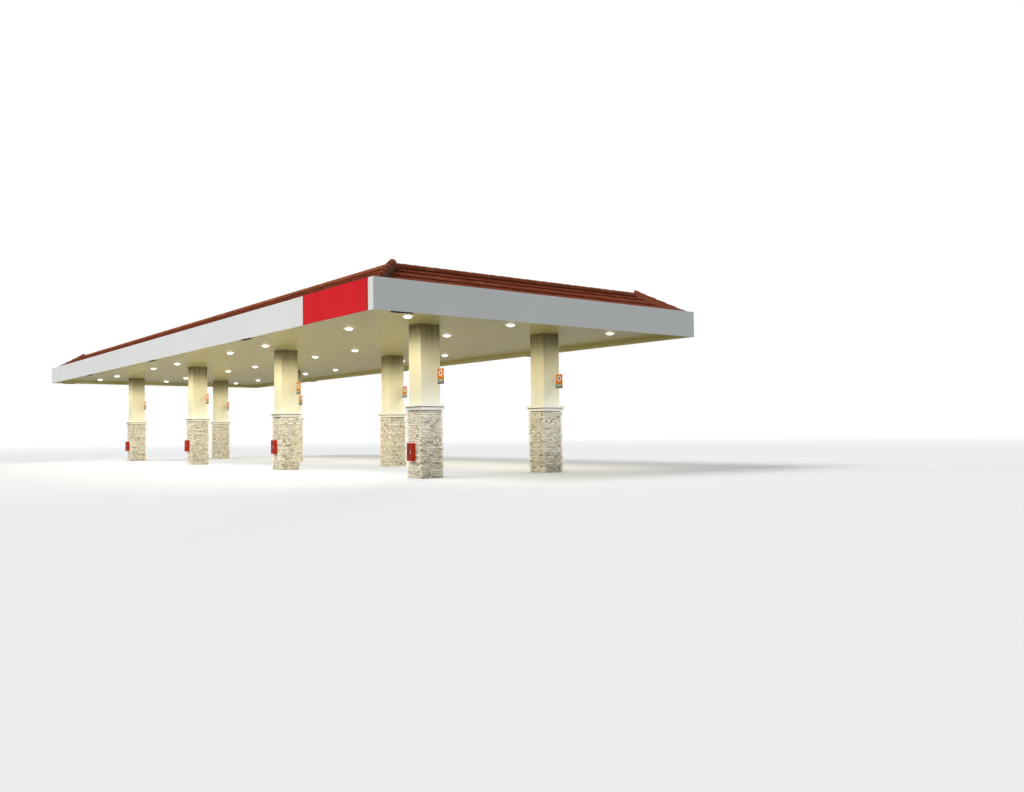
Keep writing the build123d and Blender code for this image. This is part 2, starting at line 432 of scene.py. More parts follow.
def newTree(name, inputs):
    # an input is given as its kind, or as a number that it starts from
    tree = bpy.data.node_groups.new(name, "GeometryNodeTree")
    inputs = {"Geometry": "Geometry", **inputs, "Seed": 1, "Material": "Material"}
    for label, value in inputs.items():
        kind = value if isinstance(value, str) else {int: "Int", float: "Float"}[type(value)]
        socket = tree.interface.new_socket(name=label, in_out="INPUT", socket_type="NodeSocket" + kind)
        if kind != value:
            socket.default_value = value
    tree.interface.new_socket(name="Geometry", in_out="OUTPUT", socket_type="NodeSocketGeometry")
    return tree, tree.nodes.new("NodeGroupInput").outputs, tree.nodes.new("NodeGroupOutput").inputs


def runTree(tree, name, seed, finishName, values, base=None):
    # the mesh that a tree makes, on its own or from a base mesh
    holder = linked(name + "Holder", base or bpy.data.meshes.new(name + "Base"))
    build = holder.modifiers.new("build", "NODES")
    build.node_group = tree
    values = {**values, "Seed": seed, "Material": finish[finishName]}
    for item in tree.interface.items_tree:
        if item.in_out == "INPUT" and item.name in values:
            build[item.identifier] = values[item.name]
    holder.update_tag()
    mesh = evaluatedMesh(holder)
    mesh.name = name
    return mesh


def randomNode(tree, kind, low, high, seed, draw):
    # the node keeps its sockets for floats apart from those for vectors
    first, out = (2, 1) if kind == "FLOAT" else (0, 0)
    step = mathNode(tree, "ADD", seed, layingSizes["steps"][draw])
    values = {first: low, first + 1: high, "Seed": step}
    return addNode(tree, "FunctionNodeRandomValue", values, data_type=kind).outputs[out]


def layCopies(tree, points, pattern, values):
    shape = geometry(tree, "ObjectInfo", {"Object": pattern}, "Geometry")
    return geometry(tree, "InstanceOnPoints", {"Points": points, "Instance": shape, **values})


def eitherWay(tree, seed, draw, reach):
    return randomNode(tree, "FLOAT_VECTOR", [-share for share in reach], reach, seed, draw)


def unevenTurn(tree, entry, turn, wobble):
    tilt = eitherWay(tree, entry["Seed"], "wobble", layingSizes[wobble])
    return vectorNode(tree, "ADD", {0: entry[turn], 1: tilt})


def finishTree(tree, copies, entry, leave, chips=None):
    # a tint for each copy, then plain geometry, chipped where asked, with its material
    tint = randomNode(tree, "FLOAT", 0.0, 1.0, entry["Seed"], "tint")
    values = {"Geometry": copies, "Name": "tint", "Value": tint}
    shape = geometry(tree, "StoreNamedAttribute", values, data_type="FLOAT", domain="INSTANCE")
    shape = geometry(tree, "RealizeInstances", {"Geometry": shape})
    if chips is not None:
        shape = geometry(tree, "SetPosition", {"Geometry": shape, "Offset": chips})
    shape = geometry(tree, "SetMaterial", {"Geometry": shape, "Material": entry["Material"]})
    feed(tree, leave, {"Geometry": shape})
    return tree


def tileFieldTree():
    tree, entry, leave = newTree("tileField", {
        "Tile": "Object", "Tile Pitch": 0.26, "Exposure": 0.29, "Columns": 10, "Courses": 4,
        "Field Centre": "Vector", "Field Turn": "Vector", "Tile Turn": "Vector", "Laying Error": 0.004,
    })
    values = {"Vertices X": entry["Columns"], "Vertices Y": entry["Courses"]}
    for label, spacing, count in (("Size X", "Tile Pitch", "Columns"), ("Size Y", "Exposure", "Courses")):
        gaps = mathNode(tree, "SUBTRACT", entry[count], 1)
        values[label] = mathNode(tree, "MULTIPLY", gaps, entry[spacing])
    grid = geometry(tree, "MeshGrid", values)
    values = {"Geometry": grid, "Translation": entry["Field Centre"], "Rotation": entry["Field Turn"]}
    field = geometry(tree, "Transform", values)
    wander = eitherWay(tree, entry["Seed"], "wander", layingSizes["wander"])
    slip = vectorNode(tree, "SCALE", {0: wander, "Scale": entry["Laying Error"]})
    points = geometry(tree, "SetPosition", {"Geometry": field, "Offset": slip})
    turn = unevenTurn(tree, entry, "Tile Turn", "tileWobble")
    return finishTree(tree, layCopies(tree, points, entry["Tile"], {"Rotation": turn}), entry, leave)


def capRunTree():
    tree, entry, leave = newTree("capRun", {
        "Cap": "Object", "Start": "Vector", "End": "Vector", "Count": 10, "Cap Turn": "Vector",
    })
    # in this mode the Offset socket holds the end point
    values = {"Count": entry["Count"], "Start Location": entry["Start"], "Offset": entry["End"]}
    line = geometry(tree, "MeshLine", values, mode="END_POINTS")
    turn = unevenTurn(tree, entry, "Cap Turn", "capWobble")
    return finishTree(tree, layCopies(tree, line, entry["Cap"], {"Rotation": turn}), entry, leave)


def stoneFacingTree():
    # the incoming points carry the size and the turn of each stone
    tree, entry, leave = newTree("stoneFacing", {"Stone": "Object", "Chipping": 0.008, "Chip Scale": 14.0})
    size, turn = (
        geometry(tree, "InputNamedAttribute", {"Name": name}, data_type="FLOAT_VECTOR")
        for name in ("stoneSize", "stoneTurn")
    )
    copies = layCopies(tree, entry["Geometry"], entry["Stone"], {"Scale": size, "Rotation": turn})
    noise = shading(tree, "TexNoise", {"Scale": entry["Chip Scale"], "Detail": 1.0}, "Color")
    centred = vectorNode(tree, "SUBTRACT", {0: noise, 1: (0.5, 0.5, 0.5)})
    chips = vectorNode(tree, "SCALE", {0: centred, "Scale": entry["Chipping"]})
    return finishTree(tree, copies, entry, leave, chips)


tileField = tileFieldTree()
capRun = capRunTree()
stoneFacing = stoneFacingTree()

tileSizes = {
    "cover": 0.306,
    "lap": 0.018,
    "length": 0.42,
    "rolls": 2,
    "rollHeight": 0.024,
    "thickness": 0.034,
    "steps": 14,
    "courses": 4,
    "spareColumns": 3,
    "seat": -0.012,
    # painted shade on the underside and the lower end of each tile
    "paintedShades": (0.8, 0.8, 0.0),
    "seed": 20,
}


def tileObject():
    # one double-roll tile, its lower edge at y = 0 and its back up the slope
    s = tileSizes
    total = s["cover"] + s["lap"]
    profile = []
    for step in range(s["steps"]):
        across = step / (s["steps"] - 1) * total / s["cover"]
        rise = s["rollHeight"] * (0.5 - 0.5 * math.cos(2 * math.pi * across * s["rolls"]))
        profile.append((across * s["cover"] - total / 2, rise))
    bm = bmesh.new()
    near, far = (
        [[(x, y, z + lift) for x, z in profile] for lift in (s["thickness"], 0)] for y in (0.0, s["length"])
    )
    addBentPlate(bm, near, far, s["paintedShades"])
    return linked("tilePattern", meshFrom(bm, "tilePattern", "clayRollTile"))


def roofTiles(pattern):
    s = tileSizes
    exposure = (ridgeInset - footInset) / math.cos(roofPitch) / s["courses"]
    lift = s["thickness"] / exposure
    middle = exposure * (s["courses"] - 1) / 2
    inset = footInset + middle * math.cos(roofPitch) - s["seat"] * math.sin(roofPitch)
    height = gutterFloor + middle * math.sin(roofPitch) + s["seat"] * math.cos(roofPitch)
    for number, side in enumerate(sideNames):
        run, half = sides[side]
        columns = int((run - 2 * footInset) / s["cover"]) + s["spareColumns"]
        mesh = runTree(tileField, side + "RoofTiles", s["seed"] + number, "clayRollTile", {
            "Tile": pattern,
            "Tile Pitch": s["cover"],
            "Exposure": exposure,
            "Columns": columns,
            "Courses": s["courses"],
            "Field Centre": (0, inset - half, height),
            "Field Turn": (roofPitch, 0, 0),
            "Tile Turn": (roofPitch - lift, 0, 0),
        })
        # the field is cut along both hips
        bm = bmesh.new()
        bm.from_mesh(mesh)
        for end in (-1, 1):
            cutAway(bm, (end * run / 2, -half, 0), (end, 1, 0))
        bm.to_mesh(mesh)
        bm.free()
        mesh.transform(toSide(side))
        settle(side + "RoofTiles", mesh, "roof_tile")
        print("tiles laid:", side, columns * s["courses"])


boardSizes = {
    "sink": 0.062,
    "thickness": 0.07,
    "upstand": 0.06,
    "eaveGap": 0.012,
    "eaveWidth": 0.02,
    "eaveRise": 0.065,
    "eaveRun": 0.1,
    "soffitInset": 0.21,
}


def roofBoards():
    # the boarded slope under the tiles, the eave board at its foot and the upstand behind it
    s = boardSizes
    rise = math.tan(roofPitch)
    foot = gutterFloor - s["sink"]
    inner = ridgeInset - s["upstand"]
    top = ridgeHeight - s["sink"]
    under = top - s["upstand"] * rise - s["thickness"] / math.cos(roofPitch)
    eave = foot + s["eaveRise"] + s["eaveGap"] * rise
    face = footInset + s["eaveGap"]
    start = face + s["eaveWidth"]
    slopeStart = start + s["eaveRun"]
    section = [
        (face, gutterFloor), (face, eave), (start, eave),
        (slopeStart, foot + (slopeStart - footInset) * rise), (ridgeInset, top),
        (ridgeInset, upstandFoot), (inner, upstandFoot), (inner, under),
        (footInset + s["soffitInset"], gutterFloor),
    ]
    for side in sideNames:
        bm = bmesh.new()
        addMitred(bm, section, side)
        settleShape(side + "RoofBoards", bm, "roofBoard", "roof_tile", side + "_roof_slope")


capSizes = {
    "wide": 0.120,
    "narrow": 0.098,
    "ridgeNarrow": 0.109,
    "apexNarrow": 0.119,
    "length": 0.42,
    "apexLength": 0.20,
    "exposure": 0.36,
    "thickness": 0.016,
    "arc": 200,
    "steps": 12,
    # painted shade on both ends of each cap
    "paintedShades": (0.0, 0.6, 0.6),
    "hipStart": 0.215,
    "hipEnd": 1.49,
    "hipLift": 0.100,
    "ridgeShift": 0.015,
    "ridgeGap": 0.005,
    "ridgeBed": ((-1, -0.12), (-1, 0.02), (-0.5, 0.075), (0.5, 0.075), (1, 0.02), (1, -0.012)),
    "ridgeBedHalf": 0.098,
    "hipBed": ((-1, -0.18), (1, -0.18), (1, 0.0), (0.5, 0.06), (-0.5, 0.06), (-1, 0.0)),
    "hipBedHalf": 0.114,
    "hipBedGap": 0.01,
    "bedClearance": 0.001,
    "ridgeSeed": 40,
    "hipSeed": 60,
    "apexTint": (0.4, 0.1),
}


def capObject(narrow, length):
    # one round cap tile along +Y, its wide end at y = 0 lapped over the narrow end of the one before
    s = capSizes
    shares = [0.5 - step / (s["steps"] - 1) for step in range(s["steps"])]
    angles = [math.radians(90 + s["arc"] * share) for share in shares]
    bm = bmesh.new()
    near, far = (
        [[(r * math.cos(a), y, r * math.sin(a)) for a in angles] for r in (radius, radius - s["thickness"])]
        for y, radius in ((0.0, s["wide"]), (length, narrow))
    )
    addBentPlate(bm, near, far, s["paintedShades"])
    return linked("capPattern", meshFrom(bm, "capPattern", "clayCapTile"))


def capTurn(way):
    return math.asin(way.z), 0, math.atan2(way.y, way.x) - math.pi / 2


def runCaps(name, seed, pattern, start, end):
    # caps lapped from start to end, as evenly as their exposure allows
    s = capSizes
    run = end - start
    way = run.normalized()
    return runTree(capRun, name, seed, "clayCapTile", {
        "Cap": pattern,
        "Start": start,
        "End": end - way * s["length"],
        "Count": round((run.length - s["length"]) / s["exposure"]) + 1,
        "Cap Turn": capTurn(way),
    })


def ridgeCaps(pattern):
    s = capSizes
    centre = ridgeInset - s["ridgeShift"]
    section = [(centre + share * s["ridgeBedHalf"], ridgeHeight + up) for share, up in s["ridgeBed"]]
    section += [(ridgeInset, section[-1][1]), (ridgeInset, section[0][1])]
    for number, side in enumerate(sideNames):
        run, half = sides[side]
        reach = run / 2 - ridgeInset - s["ridgeGap"]
        start = Vector((-reach, centre - half, ridgeHeight))
        end = Vector((reach, centre - half, ridgeHeight))
        mesh = runCaps(side + "RidgeCaps", s["ridgeSeed"] + number, pattern, start, end)
        mesh.transform(toSide(side))
        settle(side + "RidgeCaps", mesh, "ridge_tile", side + "_ridge_cap")
        # a mortar bed under the caps, in the dark colour of painted shade
        bm = bmesh.new()
        addMitred(bm, section, side)
        settleShape(side + "RidgeBedding", bm, "ridgeBedding", "ridge_tile")


def hipCaps(pattern, apexPattern):
    s = capSizes
    section = [(share * s["hipBedHalf"], up) for share, up in s["hipBed"]]
    runs = []
    bedding = bmesh.new()
    rise = math.tan(roofPitch)
    for number, (sx, sy) in enumerate(squareCorners):
        start, end = (
            Vector((
                sx * (roofLength / 2 - inset),
                middleY + sy * (roofWidth / 2 - inset),
                gutterFloor + (inset - footInset) * rise + s["hipLift"],
            ))
            for inset in (s["hipStart"], s["hipEnd"])
        )
        runs.append(runCaps("hipRun" + str(number), s["hipSeed"] + number, pattern, start, end))
        # a short apex cap closes the run against the ridge corner
        apex = apexPattern.data.copy()
        first, step = s["apexTint"]
        tints = [first + step * number] * len(apex.vertices)
        apex.attributes.new("tint", "FLOAT", "POINT").data.foreach_set("value", tints)
        way = (end - start).normalized()
        turn = Euler(capTurn(way)).to_matrix().to_4x4()
        apex.transform(Matrix.Translation(end - way * s["apexLength"]) @ turn)
        runs.append(apex)
        addBar(bedding, start + way * s["hipBedGap"], end - way * s["hipBedGap"], section)
    settle("hipCapTiles", joinMeshes("hipCapTiles", runs, "clayCapTile"), "ridge_tile", "hip_caps")
    cutAway(bedding, (0, 0, gutterFloor + s["bedClearance"]), (0, 0, -1))
    mesh = meshFrom(bedding, "hipBedding", "hipMortar", "hipMortarWarm")
    for face in mesh.polygons:
        # the mortar is grey on the hip nearest the sign, as painted shade for its shaded flank, and tile
        # coloured on the others
        face.material_index = 0 if face.center.x > 0 > face.center.y else 1
    settle("hipBedding", mesh, "ridge_tile")
    print("ridge and hip caps laid")


tilePattern = tileObject()
ridgePattern = capObject(capSizes["ridgeNarrow"], capSizes["length"])
hipPattern = capObject(capSizes["narrow"], capSizes["length"])
apexPattern = capObject(capSizes["apexNarrow"], capSizes["apexLength"])
roofTiles(tilePattern)
roofBoards()
ridgeCaps(ridgePattern)
hipCaps(hipPattern, apexPattern)
for pattern in (tilePattern, ridgePattern, hipPattern, apexPattern):
    bpy.data.objects.remove(pattern)

stoneSizes = {
    "heights": (0.058, 0.068, 0.078, 0.090),
    "split": 0.58,
    "splitShare": (0.42, 0.58),
    "thinnest": 0.02,
    "shortest": 0.055,
    "longest": 0.145,
    "overlong": 1.25,
    "depth": 0.075,
    "joint": 0.011,
    # the top gap shows the dark core: a joint, with painted shade under the cap's moulding
    "topJointAndShade": 0.022,
    "recess": (0.001, 0.013),
    "coreInset": 0.052,
    "chipping": 0.007,
    "rings": ((0.5, 1.0), (-0.32, 1.0), (-0.5, 0.86)),
    "slack": 1e-6,
    "courseSeed": 700,
    "tintSeed": 80,
}


def stoneObject():
    # a unit stone whose outer face, towards -Y, is a little smaller than its back
    bm = bmesh.new()
    addRings(bm, [
        [(sx * size / 2, y, sz * size / 2) for sx, sz in squareCorners] for y, size in stoneSizes["rings"]
    ])
    return linked("stonePattern", meshFrom(bm, "stonePattern", "ledgeStone"))


def courseHeights(rng, total):
    heights = []
    left = total
    while left > 0:
        height = rng.choice(stoneSizes["heights"])
        if left - height < stoneSizes["heights"][0]:
            height = left
        heights.append(height)
        left -= height
    return heights


def stonePoints(rng, centre, half, height, name):
    # stones are coursed on all four faces, alternate faces carry the corner, and some places hold two
    s = stoneSizes
    places, sizes, turns = [], [], []
    foot = 0.0
    for course, rise in enumerate(courseHeights(rng, height)):
        for face in range(4):
            full = face % 2 == course % 2
            span = 2 * half if full else 2 * (half - s["depth"])
            spin = Matrix.Rotation(face * math.pi / 2, 3, "Z")
            x = -span / 2
            while x < span / 2 - s["slack"]:
                width = rng.uniform(s["shortest"], s["longest"])
                if span / 2 - x - width < s["shortest"]:
                    width = span / 2 - x
                if width > s["longest"] * s["overlong"]:
                    width = width / 2
                share = rng.uniform(*s["splitShare"]) if rng.random() < s["split"] else 1.0
                for low, high in ((0, share * rise), (share * rise, rise)):
                    if high - low < s["thinnest"]:
                        continue
                    recess = rng.uniform(*s["recess"])
                    spot = spin @ Vector((x + width / 2, -(half - recess - s["depth"] / 2), 0))
                    places.append((centre[0] + spot.x, centre[1] + spot.y, foot + (low + high) / 2))
                    sizes.append((width - s["joint"], s["depth"], high - low - s["joint"]))
                    turns.append((0, 0, face * math.pi / 2))
                x += width
        foot += rise
    mesh = bpy.data.meshes.new(name)
    mesh.from_pydata(places, [], [])
    for label, values in (("stoneSize", sizes), ("stoneTurn", turns)):
        layer = mesh.attributes.new(label, "FLOAT_VECTOR", "POINT")
        layer.data.foreach_set("vector", [c for value in values for c in value])
    return mesh


def columnNodes(kind):
    # the node, its piece name, its corners, its centre and half its width, for each column in turn
    for row in rowNames:
        for number in columnNumbers:
            node = f"{row}_{kind}_{number}"
            low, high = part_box(node)
            centre = ((low.x + high.x) / 2, (low.y + high.y) / 2)
            yield node, node.title().replace("_", ""), low, high, centre, (high.x - low.x) / 2


def stoneBases():
    s = stoneSizes
    pattern = stoneObject()
    total = 0
    for number, (node, name, low, high, centre, half) in enumerate(columnNodes("stone_base")):
        rng = random.Random(s["courseSeed"] + number)
        # the stones stop short of the cap, so the dark core shows there as painted shade
        points = stonePoints(rng, centre, half, high.z - low.z - s["topJointAndShade"], node + "Points")
        total += len(points.vertices)
        values = {"Stone": pattern, "Chipping": s["chipping"]}
        seed = s["tintSeed"] + number
        facing = runTree(stoneFacing, name + "Facing", seed, "ledgeStone", values, points)
        settle(name + "Facing", facing, "stone", node)
        bm = bmesh.new()
        (x, y), inner = centre, half - s["coreInset"]
        addBlock(bm, (x - inner, y - inner, low.z), (x + inner, y + inner, high.z))
        settleShape(name + "Core", bm, "stoneJoint", "stone")
    bpy.data.objects.remove(pattern)
    print("stones laid:", total)


# a column cap's outline as (inset, distance): the moulding from its foot up, the ledge from the top down
castSizes = {
    "foot": (
        (0.036, 0.0), (0.031, 0.005), (0.031, 0.030), (0.038, 0.040), (0.038, 0.082), (0.052, 0.088),
        (0.052, 0.104), (0.004, 0.108), (0.0, 0.113),
    ),
    "head": ((0.0, 0.010), (0.004, 0.003), (0.012, 0.0), (0.14, 0.0)),
    # the band in the dark joint colour: a mortar joint, with painted shadow under the ledge
    "joint": (0.080, 0.107),
    "jointArea": 0.1,
}


def columnCaps():
    s = castSizes
    for node, name, low, high, centre, wide in columnNodes("column_cap"):
        profile = [(wide - inset, low.z + up) for inset, up in s["foot"]]
        profile += [(wide - inset, high.z - down) for inset, down in s["head"]]
        bm = bmesh.new()
        addRings(bm, [
            [(centre[0] + sx * half, centre[1] + sy * half, height) for sx, sy in squareCorners]
            for half, height in profile
        ])
        mesh = meshFrom(bm, name, "castStone", "stoneJoint")
        foot, head = (low.z + up for up in s["joint"])
        for face in mesh.polygons:
            # the mortar joint between the moulding and the ledge, painted dark as the shadow under the ledge
            if foot < face.center.z < head and face.area < s["jointArea"]:
                face.material_index = 1
        settle(name, mesh, "cap", node)
    print("column caps set")


stoneBases()
columnCaps()

fasciaSizes = {
    "plate": 0.012,
    "lap": 0.002,
    "joint": 0.0012,
    "trims": {"front": (0.115, 0.115), "right": (0, 0.215), "back": (0.115, 0.115), "left": (0.215, 0)},
    "panel": 4.8,
    "edge": 0.0006,
    "skin": 0.04,
    "depth": 0.15,
    "leg": 0.04,
    "coping": 0.10,
    "footSink": 0.003,
    "topSink": 0.004,
    "panelSink": 0.0003,
}


def fasciaSides():
    # a folded section with a coping and a gutter, and flat panels hung on its outer face
    s = fasciaSizes
    plate, skin, deep, coping, sink = (s[key] for key in ("plate", "skin", "depth", "coping", "panelSink"))
    foot, top, inner = fasciaFoot + s["footSink"], fasciaTop - s["topSink"], deep - s["leg"]
    section = [
        (plate, foot), (deep, foot), (deep, deckBottom), (inner, deckBottom), (inner, fasciaFoot + skin),
        (skin, fasciaFoot + skin), (skin, fasciaTop - skin), (coping - skin, fasciaTop - skin),
        (coping - skin, gutterFloor - skin), (gutterReach, gutterFloor - skin), (gutterReach, gutterFloor),
        (coping, gutterFloor), (coping, top), (plate, top),
    ]
    for side in sideNames:
        run, half = sides[side]
        bm = bmesh.new()
        addMitred(bm, section, side)
        first, last = s["trims"][side]
        field = run - first - last
        count = round(field / s["panel"])
        joints = (first - run / 2 + field * i / count for i in range(count + 1))
        stops = sorted({-run / 2, run / 2, *joints})
        for number, (left, right) in enumerate(zip(stops, stops[1:])):
            a = left + (plate if number == 0 else s["joint"] / 2)
            b = right - (plate if number == len(stops) - 2 else s["joint"] / 2)
            low = (a, sink - half, fasciaFoot)
            high = (b, plate + s["lap"] - half, fasciaTop - sink)
            addBlock(bm, low, high, s["edge"], toSide(side))
        mesh = meshFrom(bm, side + "FasciaPanels", "fasciaPanel", "deckPan")
        for face in mesh.polygons:
            # the return and the inner leg are painted with the deck
            inset = min(roofLength / 2 - abs(face.center.x), roofWidth / 2 - abs(face.center.y - middleY))
            if face.center.z < deckBottom and inset > 2 * plate:
                face.material_index = 1
        settle(side + "FasciaPanels", mesh, "fascia", side + "_fascia")
    bm = bmesh.new()
    post = plate + s["lap"]
    for sx, sy in squareCorners:
        x0, x1 = sorted((sx * roofLength / 2, sx * (roofLength / 2 - post)))
        y0, y1 = sorted((middleY + sy * roofWidth / 2, middleY + sy * (roofWidth / 2 - post)))
        addBlock(bm, (x0, y0, fasciaFoot), (x1, y1, fasciaTop), s["edge"])
    settleShape("fasciaCorners", bm, "fasciaPanel", "fascia")
    print("fascia panels hung")


slotSizes = {
    "length": 0.64,
    "width": 0.136,
    "inset": 0.008,
    "rim": 0.005,
    "rimProud": 0.003,
    "proud": 0.022,
    "sink": 0.0036,
    "along": (-10.6, 0.0, 10.6),
    "across": -5.50,
}


def fasciaSlots():
    # dark vent boxes, painted black for the shade inside the openings, just under the fascia's lower return,
    # on the long sides and near the signed corners
    s = slotSizes
    darks, rims = bmesh.new(), bmesh.new()
    half, rim = s["length"] / 2, s["rim"]
    front, right = frontLow.y + s["inset"], frontHigh.x - s["inset"]
    boxes = []
    for x in s["along"]:
        boxes.append((x - half, front, x + half, front + s["width"]))
        boxes.append((x - half, 2 * middleY - front - s["width"], x + half, 2 * middleY - front))
    for sx in (-1, 1):
        low, high = sorted((sx * right, sx * (right - s["width"])))
        boxes.append((low, s["across"] - half, high, s["across"] + half))
    foot, top = fasciaFoot - s["proud"], fasciaFoot + s["sink"]
    for x0, y0, x1, y1 in boxes:
        addBlock(darks, (x0, y0, foot + s["rimProud"]), (x1, y1, top))
        for a0, b0, a1, b1 in ((x0 - rim, y0 - rim, x1 + rim, y0), (x0 - rim, y1, x1 + rim, y1 + rim),
                               (x0 - rim, y0, x0, y1), (x1, y0, x1 + rim, y1)):
            addBlock(rims, (a0, b0, foot), (a1, b1, top))
    settleShape("fasciaSlots", darks, "slotShadow", "fascia")
    settleShape("fasciaSlotRims", rims, "slotShadow", "fascia")


seamSizes = {
    "pans": 32, "height": 0.028, "width": 0.009, "bevel": 0.002, "lines": 9, "gap": 0.004, "sink": 0.001,
}


def deckSeams():
    # the upright laps between the deck pans, on their upper side, cut where the purlins and girders stand
    s = seamSizes
    low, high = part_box("soffit_deck")
    first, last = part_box("cross_purlins")
    girders = [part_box(row + "_girder") for row in rowNames]
    flange = girders[0][1].y - girders[0][0].y
    spacing = (last.x - first.x - flange) / (s["lines"] - 1)
    stops = [first.x + flange / 2 + line * spacing for line in range(s["lines"])]
    reach = flange / 2 + s["gap"]
    starts = [low.x + s["gap"]] + [stop + reach for stop in stops]
    ends = [stop - reach for stop in stops] + [high.x - s["gap"]]
    bm = bmesh.new()
    for pan in range(1, s["pans"]):
        y = low.y + pan * (high.y - low.y) / s["pans"]
        if any(a.y - s["width"] < y < b.y + s["width"] for a, b in girders):
            continue
        y0, y1 = y - s["width"] / 2, y + s["width"] / 2
        for start, end in zip(starts, ends):
            addBlock(bm, (start, y0, high.z - s["sink"]), (end, y1, high.z + s["height"]), s["bevel"])
    settleShape("deckSeams", bm, "deckPan", "deck")


fasciaSides()
fasciaSlots()
deckSeams()

fittingSizes = {
    "reach": 1.0,
    "flange": 0.010,
    "flangeHalf": 0.142,
    "collar": ((0.010, 0.002), (0.010, -0.004), (0.004, -0.006), (-0.010, -0.006)),
    "lens": 0.126,
    "lensSink": 0.003,
    "lensAngles": (0.35, 0.7, 1.05, 1.35),
    "deeper": 0.022,
    "squareness": 2.15,
    "segments": 32,
    "bevel": 0.004,
}


def addLens(bm, x, y, profile):
    # a soft-cornered square lens, as rings of (half-width, height)
    power, count = fittingSizes["squareness"], fittingSizes["segments"]
    ways = []
    for i in range(count):
        c, d = (turn(2 * math.pi * i / count) for turn in (math.cos, math.sin))
        reach = (abs(c) ** power + abs(d) ** power) ** (-1 / power)
        ways.append((reach * c, reach * d))
    addRings(bm, [[(x + half * c, y + half * d, height) for c, d in ways] for half, height in profile])


def lightFittings():
    s = fittingSizes
    housing, lens = bmesh.new(), bmesh.new()
    boxes = solidBoxes("light_fittings", s["reach"])
    outer, half = s["flangeHalf"], s["lens"]
    for low, high in boxes:
        x, y = (low.x + high.x) / 2, (low.y + high.y) / 2
        plate = high.z - s["flange"]
        addBlock(housing, (x - outer, y - outer, plate), (x + outer, y + outer, high.z), s["bevel"])
        addLens(housing, x, y, [(half + out, plate + up) for out, up in s["collar"]])
        rim = plate - s["lensSink"]
        drop = rim - low.z + s["deeper"]
        dome = [(half * math.cos(a), rim - drop * math.sin(a)) for a in s["lensAngles"]]
        addLens(lens, x, y, [(half, rim)] + dome)
    # the housings glow faintly: painted light round the lenses
    settleShape("lightHousings", housing, "lampFlangeGlow", "light", "light_fittings")
    settleShape("lightLenses", lens, "lampLens", "light")
    print("light fittings:", len(boxes))


signSizes = {
    "rim": 0.022,
    "inset": 0.006,
    "bevel": 0.004,
    "proud": 0.030,
    "leftShift": 0.09,
    "rightShift": 0.10,
    "topShift": 0.028,
}


def signBox():
    s = signSizes
    low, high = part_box("sign_box")
    # the photo shows a thinner box than the solid, so its front edges are drawn back along the sight lines
    low.y = high.y - s["proud"]
    low.x -= s["leftShift"]
    high.x -= s["rightShift"]
    high.z += s["topShift"]
    rim = s["rim"]
    bm = bmesh.new()
    addFrame(bm, low, high, rim, s["bevel"])
    settleShape("signRim", bm, "redTrim", "sign", "sign_box")
    bm = bmesh.new()
    addBlock(bm, (low.x + rim, low.y + s["inset"], low.z + rim), (high.x - rim, high.y, high.z - rim))
    settleShape("signFace", bm, "redAcrylic", "sign")


flagSizes = {
    "reach": 0.8,
    "standOff": 0.06,
    "plate": 0.003,
    "sink": 0.001,
    "bevel": 0.008,
    "disc": 0.098,
    "discSegments": 32,
    "discLevel": 0.70,
    "discProud": 0.6,
    "numeral": 0.165,
    "numeralBold": 0.006,
    "numeralDepth": 0.0015,
    "numeralProud": 0.75,
    # arms and wall plates as half-width, half-height and bevel
    "armLevels": (0.18, 0.82),
    "arm": (0.007, 0.015, 0.002),
    "armLap": 0.004,
    "wallPlate": (0.022, 0.026, 0.001),
    "wallPlateDepth": 0.006,
    # colour, foot and head as shares of the height, share of the plate, inset from the panel's edges
    "bands": (
        ("dark", 0.012, 0.150, 0.6, 0.004),
        ("white", 0.088, 0.116, 0.8, 0.05),
        ("green", 0.150, 0.335, 0.6, 0.004),
        ("white", 0.205, 0.270, 0.8, 0.05),
    ),
    "hung": {3: 0.05, 4: -0.05, 8: -0.08},
    "aside": {1: 0.06, 2: 0.035, 3: 0.045, 7: 0.04, 8: -0.075},
}


def addDisc(bm, x, y, z, depth):
    radius, count = flagSizes["disc"], flagSizes["discSegments"]
    angles = [2 * math.pi * i / count for i in range(count)]
    ways = [(radius * math.cos(a), radius * math.sin(a)) for a in angles]
    addRings(bm, [[(x + c, level, z + d) for c, d in ways] for level in (y, y + depth)])


def numeralMesh(label, centre, side):
    s = flagSizes
    curve = bpy.data.curves.new("numeral" + label, "FONT")
    curve.body = label
    curve.size = s["numeral"]
    curve.align_x = "CENTER"
    curve.align_y = "CENTER"
    curve.extrude = s["numeralDepth"]
    curve.offset = s["numeralBold"]
    curve.resolution_u = 3
    holder = linked("numeralHolder", curve)
    bpy.context.view_layer.update()
    mesh = evaluatedMesh(holder)
    upright = Matrix.Rotation(math.pi / 2, 4, "X")
    facing = Matrix.Rotation(0 if side < 0 else math.pi, 4, "Z")
    mesh.transform(Matrix.Translation(centre) @ facing @ upright)
    return mesh


